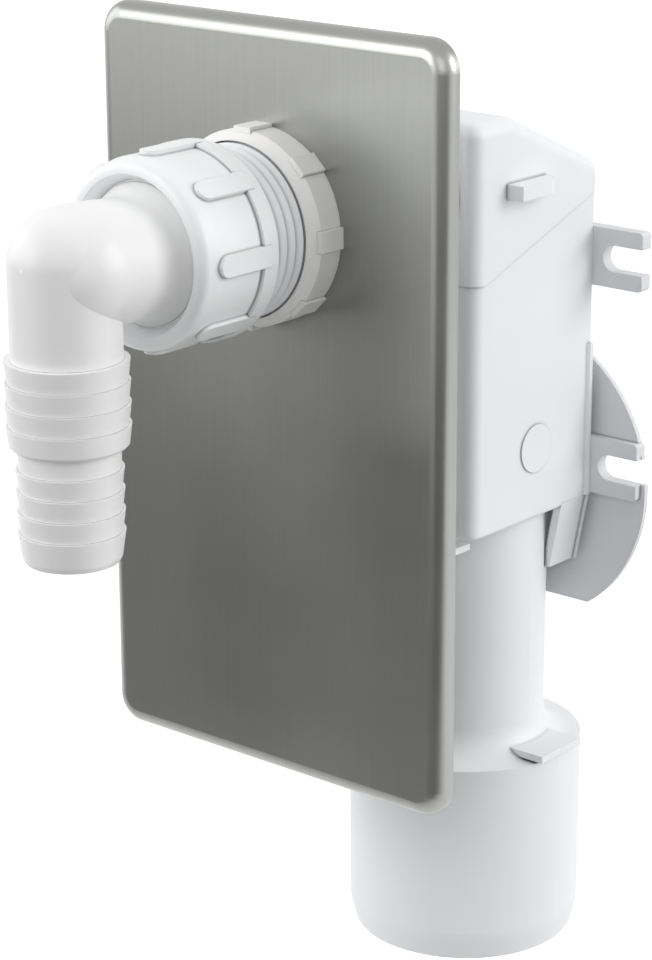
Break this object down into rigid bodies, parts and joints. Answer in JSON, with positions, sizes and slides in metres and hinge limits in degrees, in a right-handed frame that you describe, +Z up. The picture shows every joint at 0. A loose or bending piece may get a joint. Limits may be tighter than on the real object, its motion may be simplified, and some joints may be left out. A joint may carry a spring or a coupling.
{
  "type": "concealed washing machine trap",
  "caption": "Wall-recessed drain trap for a washing machine: a white box trap with a down outlet, a stainless cover plate on a threaded inlet, and a union with a barbed hose elbow.",
  "frame": {"origin": "on the waste outlet's axis, at the upper shoulder of its spigot", "axes": "+X to the right seen from the room, +Y into the wall, +Z up along the outlet"},
  "size_m": [0.086, 0.1533, 0.205],
  "materials": {
    "white_polypropylene": "satin moulded",
    "stainless_steel": "satin",
    "white_ring_plastic": "satin moulded",
    "white_nut_plastic": "satin moulded",
    "seal_rubber": "moulded",
    "white_elbow_plastic": "satin moulded"
  },
  "bodies": {
    "trap": {"trap_housing": "white_polypropylene", "back_plate": "white_polypropylene", "dip_baffle": "white_polypropylene"},
    "cover_plate": {"cover_plate": "stainless_steel"},
    "lock_ring": {"lock_ring": "white_ring_plastic"},
    "union_seal": {"union_seal": "seal_rubber"},
    "union_nut": {"union_nut": "white_nut_plastic"},
    "hose_elbow": {"hose_elbow": "white_elbow_plastic"}
  },
  "joints": [
    {"name": "plate_adjust", "type": "slide", "parent": "trap", "child": "cover_plate", "axis": [0, -1, 0], "range_m": [-0.0202, 0.0093]},
    {"name": "lock_ring_turn", "type": "hinge", "parent": "cover_plate", "child": "lock_ring", "pos_m": [0, -0.0638, 0.1225], "axis": [0, -1, 0], "range_deg": [-3120, 1440]},
    {"name": "union_draw", "type": "slide", "parent": "trap", "child": "union_seal", "axis": [0, -1, 0], "range_m": [0, 0.0105]},
    {"name": "union_nut_turn", "type": "hinge", "parent": "union_seal", "child": "union_nut", "pos_m": [0, -0.09, 0.1225], "axis": [0, -1, 0], "range_deg": [0, 1620]},
    {"name": "elbow_swivel", "type": "hinge", "parent": "union_seal", "child": "hose_elbow", "pos_m": [0, -0.095, 0.1225], "axis": [0, -1, 0], "continuous": true}
  ],
  "couplings": [
    {"joint": "plate_adjust", "follows": "lock_ring_turn", "m_per_rad": 0.00036749},
    {"joint": "union_draw", "follows": "union_nut_turn", "m_per_rad": 0.00036749}
  ]
}
